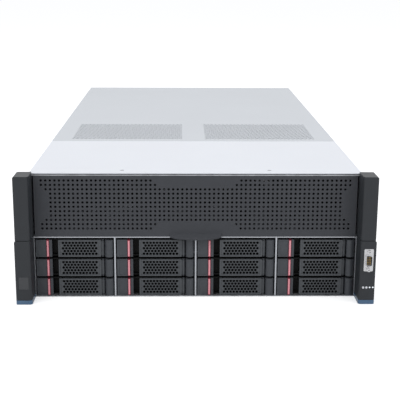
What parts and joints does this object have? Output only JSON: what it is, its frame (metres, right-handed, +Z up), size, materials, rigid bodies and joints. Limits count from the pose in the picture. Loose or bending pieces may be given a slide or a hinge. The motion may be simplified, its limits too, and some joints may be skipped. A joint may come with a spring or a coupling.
{
  "type": "4u gpu server",
  "caption": "Four-unit rack server for graphics cards: drive carriers and a perforated grille in front, lift-off vented covers, fans, cards and slide-out power supplies.",
  "frame": {"origin": "middle of the bounding box's underside", "axes": "+X to the right, +Y to the rear, +Z up; the front faces -Y"},
  "size_m": [0.4826, 0.9548, 0.176],
  "materials": {
    "zinc_sheet": "satin zinc-coated sheet",
    "cover_sheet": "satin pale coated sheet",
    "grille_coat": "fine textured dark powder coat",
    "ear_plastic": "satin dark moulded",
    "tip_plastic": "translucent blue moulded",
    "port_nickel": "nickel plated",
    "button_white": "white moulded",
    "cage_zinc": "bright zinc-coated sheet",
    "circuit_green": "lacquered circuit board",
    "carrier_plastic": "satin dark moulded",
    "lever_plastic": "satin dark moulded",
    "latch_red": "satin red moulded",
    "fan_plastic": "black moulded",
    "heatsink_metal": "bright extruded",
    "card_shroud": "dark moulded",
    "supply_steel": "satin zinc-coated sheet"
  },
  "bodies": {
    "case": {"chassis_tray": "zinc_sheet", "rear_panel": "zinc_sheet", "upper_ears": "ear_plastic", "lower_ear_left": "ear_plastic", "lower_ear_right": "ear_plastic", "ear_tips": "tip_plastic", "vga_port": "port_nickel", "drive_cage": "cage_zinc", "drive_backplane": "circuit_green", "fan_wall": "fan_plastic", "system_board": "circuit_green", "cpu_heatsinks": "heatsink_metal", "gpu_cards": "card_shroud"},
    "front_cover": {"front_cover": "cover_sheet"},
    "rear_cover": {"rear_cover": "cover_sheet"},
    "front_grille": {"front_grille": "grille_coat"},
    "power_button": {"power_button": "button_white"},
    "id_button": {"id_button": "button_white"},
    "drive_carrier_1": {"drive_carrier_1": "carrier_plastic"},
    "carrier_lever_1": {"carrier_lever_1": "lever_plastic"},
    "carrier_latch_1": {"carrier_latch_1": "latch_red"},
    "drive_carrier_2": {"drive_carrier_2": "carrier_plastic"},
    "carrier_lever_2": {"carrier_lever_2": "lever_plastic"},
    "carrier_latch_2": {"carrier_latch_2": "latch_red"},
    "drive_carrier_3": {"drive_carrier_3": "carrier_plastic"},
    "carrier_lever_3": {"carrier_lever_3": "lever_plastic"},
    "carrier_latch_3": {"carrier_latch_3": "latch_red"},
    "drive_carrier_4": {"drive_carrier_4": "carrier_plastic"},
    "carrier_lever_4": {"carrier_lever_4": "lever_plastic"},
    "carrier_latch_4": {"carrier_latch_4": "latch_red"},
    "drive_carrier_5": {"drive_carrier_5": "carrier_plastic"},
    "carrier_lever_5": {"carrier_lever_5": "lever_plastic"},
    "carrier_latch_5": {"carrier_latch_5": "latch_red"},
    "drive_carrier_6": {"drive_carrier_6": "carrier_plastic"},
    "carrier_lever_6": {"carrier_lever_6": "lever_plastic"},
    "carrier_latch_6": {"carrier_latch_6": "latch_red"},
    "drive_carrier_7": {"drive_carrier_7": "carrier_plastic"},
    "carrier_lever_7": {"carrier_lever_7": "lever_plastic"},
    "carrier_latch_7": {"carrier_latch_7": "latch_red"},
    "drive_carrier_8": {"drive_carrier_8": "carrier_plastic"},
    "carrier_lever_8": {"carrier_lever_8": "lever_plastic"},
    "carrier_latch_8": {"carrier_latch_8": "latch_red"},
    "drive_carrier_9": {"drive_carrier_9": "carrier_plastic"},
    "carrier_lever_9": {"carrier_lever_9": "lever_plastic"},
    "carrier_latch_9": {"carrier_latch_9": "latch_red"},
    "drive_carrier_10": {"drive_carrier_10": "carrier_plastic"},
    "carrier_lever_10": {"carrier_lever_10": "lever_plastic"},
    "carrier_latch_10": {"carrier_latch_10": "latch_red"},
    "drive_carrier_11": {"drive_carrier_11": "carrier_plastic"},
    "carrier_lever_11": {"carrier_lever_11": "lever_plastic"},
    "carrier_latch_11": {"carrier_latch_11": "latch_red"},
    "drive_carrier_12": {"drive_carrier_12": "carrier_plastic"},
    "carrier_lever_12": {"carrier_lever_12": "lever_plastic"},
    "carrier_latch_12": {"carrier_latch_12": "latch_red"},
    "fan_rotor_1": {"fan_rotor_1": "fan_plastic"},
    "fan_rotor_2": {"fan_rotor_2": "fan_plastic"},
    "fan_rotor_3": {"fan_rotor_3": "fan_plastic"},
    "power_supply_1": {"power_supply_1": "supply_steel"},
    "power_supply_2": {"power_supply_2": "supply_steel"},
    "power_supply_3": {"power_supply_3": "supply_steel"}
  },
  "joints": [
    {"name": "front_cover_lift", "type": "slide", "parent": "case", "child": "front_cover", "axis": [0, 0, 1], "range_m": [0, 0.12]},
    {"name": "rear_cover_lift", "type": "slide", "parent": "case", "child": "rear_cover", "axis": [0, 0, 1], "range_m": [0, 0.12]},
    {"name": "grille_pull", "type": "slide", "parent": "case", "child": "front_grille", "axis": [0, -1, 0], "range_m": [0, 0.06]},
    {"name": "power_press", "type": "slide", "parent": "case", "child": "power_button", "axis": [0, 1, 0], "range_m": [0, 0.0006], "stiffness_N_per_m": 300, "springref_m": -0.002},
    {"name": "id_press", "type": "slide", "parent": "case", "child": "id_button", "axis": [0, 1, 0], "range_m": [0, 0.0006], "stiffness_N_per_m": 300, "springref_m": -0.002},
    {"name": "carrier_slide_1", "type": "slide", "parent": "case", "child": "drive_carrier_1", "axis": [0, -1, 0], "range_m": [0, 0.15]},
    {"name": "lever_swing_1", "type": "hinge", "parent": "drive_carrier_1", "child": "carrier_lever_1", "pos_m": [-0.12695, -0.4334, 0.0135], "axis": [0, 0, 1], "range_deg": [0, 50]},
    {"name": "latch_press_1", "type": "slide", "parent": "drive_carrier_1", "child": "carrier_latch_1", "axis": [0, 1, 0], "range_m": [0, 0.0015], "stiffness_N_per_m": 500, "springref_m": -0.002},
    {"name": "carrier_slide_2", "type": "slide", "parent": "case", "child": "drive_carrier_2", "axis": [0, -1, 0], "range_m": [0, 0.15]},
    {"name": "lever_swing_2", "type": "hinge", "parent": "drive_carrier_2", "child": "carrier_lever_2", "pos_m": [-0.0168, -0.4334, 0.0135], "axis": [0, 0, 1], "range_deg": [0, 50]},
    {"name": "latch_press_2", "type": "slide", "parent": "drive_carrier_2", "child": "carrier_latch_2", "axis": [0, 1, 0], "range_m": [0, 0.0015], "stiffness_N_per_m": 500, "springref_m": -0.002},
    {"name": "carrier_slide_3", "type": "slide", "parent": "case", "child": "drive_carrier_3", "axis": [0, -1, 0], "range_m": [0, 0.15]},
    {"name": "lever_swing_3", "type": "hinge", "parent": "drive_carrier_3", "child": "carrier_lever_3", "pos_m": [0.09335, -0.4334, 0.0135], "axis": [0, 0, 1], "range_deg": [0, 50]},
    {"name": "latch_press_3", "type": "slide", "parent": "drive_carrier_3", "child": "carrier_latch_3", "axis": [0, 1, 0], "range_m": [0, 0.0015], "stiffness_N_per_m": 500, "springref_m": -0.002},
    {"name": "carrier_slide_4", "type": "slide", "parent": "case", "child": "drive_carrier_4", "axis": [0, -1, 0], "range_m": [0, 0.15]},
    {"name": "lever_swing_4", "type": "hinge", "parent": "drive_carrier_4", "child": "carrier_lever_4", "pos_m": [0.2035, -0.4334, 0.0135], "axis": [0, 0, 1], "range_deg": [0, 50]},
    {"name": "latch_press_4", "type": "slide", "parent": "drive_carrier_4", "child": "carrier_latch_4", "axis": [0, 1, 0], "range_m": [0, 0.0015], "stiffness_N_per_m": 500, "springref_m": -0.002},
    {"name": "carrier_slide_5", "type": "slide", "parent": "case", "child": "drive_carrier_5", "axis": [0, -1, 0], "range_m": [0, 0.15]},
    {"name": "lever_swing_5", "type": "hinge", "parent": "drive_carrier_5", "child": "carrier_lever_5", "pos_m": [-0.12695, -0.4334, 0.041], "axis": [0, 0, 1], "range_deg": [0, 50]},
    {"name": "latch_press_5", "type": "slide", "parent": "drive_carrier_5", "child": "carrier_latch_5", "axis": [0, 1, 0], "range_m": [0, 0.0015], "stiffness_N_per_m": 500, "springref_m": -0.002},
    {"name": "carrier_slide_6", "type": "slide", "parent": "case", "child": "drive_carrier_6", "axis": [0, -1, 0], "range_m": [0, 0.15]},
    {"name": "lever_swing_6", "type": "hinge", "parent": "drive_carrier_6", "child": "carrier_lever_6", "pos_m": [-0.0168, -0.4334, 0.041], "axis": [0, 0, 1], "range_deg": [0, 50]},
    {"name": "latch_press_6", "type": "slide", "parent": "drive_carrier_6", "child": "carrier_latch_6", "axis": [0, 1, 0], "range_m": [0, 0.0015], "stiffness_N_per_m": 500, "springref_m": -0.002},
    {"name": "carrier_slide_7", "type": "slide", "parent": "case", "child": "drive_carrier_7", "axis": [0, -1, 0], "range_m": [0, 0.15]},
    {"name": "lever_swing_7", "type": "hinge", "parent": "drive_carrier_7", "child": "carrier_lever_7", "pos_m": [0.09335, -0.4334, 0.041], "axis": [0, 0, 1], "range_deg": [0, 50]},
    {"name": "latch_press_7", "type": "slide", "parent": "drive_carrier_7", "child": "carrier_latch_7", "axis": [0, 1, 0], "range_m": [0, 0.0015], "stiffness_N_per_m": 500, "springref_m": -0.002},
    {"name": "carrier_slide_8", "type": "slide", "parent": "case", "child": "drive_carrier_8", "axis": [0, -1, 0], "range_m": [0, 0.15]},
    {"name": "lever_swing_8", "type": "hinge", "parent": "drive_carrier_8", "child": "carrier_lever_8", "pos_m": [0.2035, -0.4334, 0.041], "axis": [0, 0, 1], "range_deg": [0, 50]},
    {"name": "latch_press_8", "type": "slide", "parent": "drive_carrier_8", "child": "carrier_latch_8", "axis": [0, 1, 0], "range_m": [0, 0.0015], "stiffness_N_per_m": 500, "springref_m": -0.002},
    {"name": "carrier_slide_9", "type": "slide", "parent": "case", "child": "drive_carrier_9", "axis": [0, -1, 0], "range_m": [0, 0.15]},
    {"name": "lever_swing_9", "type": "hinge", "parent": "drive_carrier_9", "child": "carrier_lever_9", "pos_m": [-0.12695, -0.4334, 0.0685], "axis": [0, 0, 1], "range_deg": [0, 50]},
    {"name": "latch_press_9", "type": "slide", "parent": "drive_carrier_9", "child": "carrier_latch_9", "axis": [0, 1, 0], "range_m": [0, 0.0015], "stiffness_N_per_m": 500, "springref_m": -0.002},
    {"name": "carrier_slide_10", "type": "slide", "parent": "case", "child": "drive_carrier_10", "axis": [0, -1, 0], "range_m": [0, 0.15]},
    {"name": "lever_swing_10", "type": "hinge", "parent": "drive_carrier_10", "child": "carrier_lever_10", "pos_m": [-0.0168, -0.4334, 0.0685], "axis": [0, 0, 1], "range_deg": [0, 50]},
    {"name": "latch_press_10", "type": "slide", "parent": "drive_carrier_10", "child": "carrier_latch_10", "axis": [0, 1, 0], "range_m": [0, 0.0015], "stiffness_N_per_m": 500, "springref_m": -0.002},
    {"name": "carrier_slide_11", "type": "slide", "parent": "case", "child": "drive_carrier_11", "axis": [0, -1, 0], "range_m": [0, 0.15]},
    {"name": "lever_swing_11", "type": "hinge", "parent": "drive_carrier_11", "child": "carrier_lever_11", "pos_m": [0.09335, -0.4334, 0.0685], "axis": [0, 0, 1], "range_deg": [0, 50]},
    {"name": "latch_press_11", "type": "slide", "parent": "drive_carrier_11", "child": "carrier_latch_11", "axis": [0, 1, 0], "range_m": [0, 0.0015], "stiffness_N_per_m": 500, "springref_m": -0.002},
    {"name": "carrier_slide_12", "type": "slide", "parent": "case", "child": "drive_carrier_12", "axis": [0, -1, 0], "range_m": [0, 0.15]},
    {"name": "lever_swing_12", "type": "hinge", "parent": "drive_carrier_12", "child": "carrier_lever_12", "pos_m": [0.2035, -0.4334, 0.0685], "axis": [0, 0, 1], "range_deg": [0, 50]},
    {"name": "latch_press_12", "type": "slide", "parent": "drive_carrier_12", "child": "carrier_latch_12", "axis": [0, 1, 0], "range_m": [0, 0.0015], "stiffness_N_per_m": 500, "springref_m": -0.002},
    {"name": "fan_spin_1", "type": "hinge", "parent": "case", "child": "fan_rotor_1", "pos_m": [-0.138, -0.2256, 0.087], "axis": [0, 1, 0], "continuous": true},
    {"name": "fan_spin_2", "type": "hinge", "parent": "case", "child": "fan_rotor_2", "pos_m": [0, -0.2256, 0.087], "axis": [0, 1, 0], "continuous": true},
    {"name": "fan_spin_3", "type": "hinge", "parent": "case", "child": "fan_rotor_3", "pos_m": [0.138, -0.2256, 0.087], "axis": [0, 1, 0], "continuous": true},
    {"name": "supply_slide_1", "type": "slide", "parent": "case", "child": "power_supply_1", "axis": [0, 1, 0], "range_m": [0, 0.12]},
    {"name": "supply_slide_2", "type": "slide", "parent": "case", "child": "power_supply_2", "axis": [0, 1, 0], "range_m": [0, 0.12]},
    {"name": "supply_slide_3", "type": "slide", "parent": "case", "child": "power_supply_3", "axis": [0, 1, 0], "range_m": [0, 0.12]}
  ]
}
